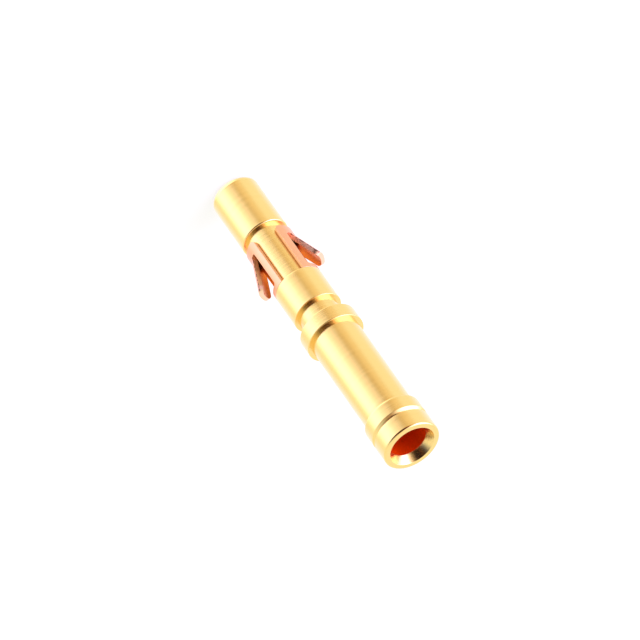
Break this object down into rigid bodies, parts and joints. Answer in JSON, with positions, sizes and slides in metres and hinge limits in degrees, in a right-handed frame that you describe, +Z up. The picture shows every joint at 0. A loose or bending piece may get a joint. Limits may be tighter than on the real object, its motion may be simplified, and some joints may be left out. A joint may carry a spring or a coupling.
{
  "type": "crimp pin contact",
  "caption": "Turned crimp pin contact with a wire barrel open at the rear, a seating flange and a split spring clip whose flared tines retain it in a connector.",
  "frame": {"origin": "on the contact's axis, at the surface that its pin's flat nose stands on", "axes": "+Z up the contact's axis from the pin's nose to the wire mouth, -Y through the middle of the clip's gap, +X across to one tine"},
  "size_m": [0.0038, 0.0032, 0.0191],
  "materials": {
    "gold_plate": "satin gold plate over a turned copper alloy body",
    "clip_copper": "bare beryllium copper strip, smooth rolled faces and sheared edges"
  },
  "bodies": {
    "root": {"contact_body": "gold_plate", "retention_clip": "clip_copper"}
  },
  "joints": []
}
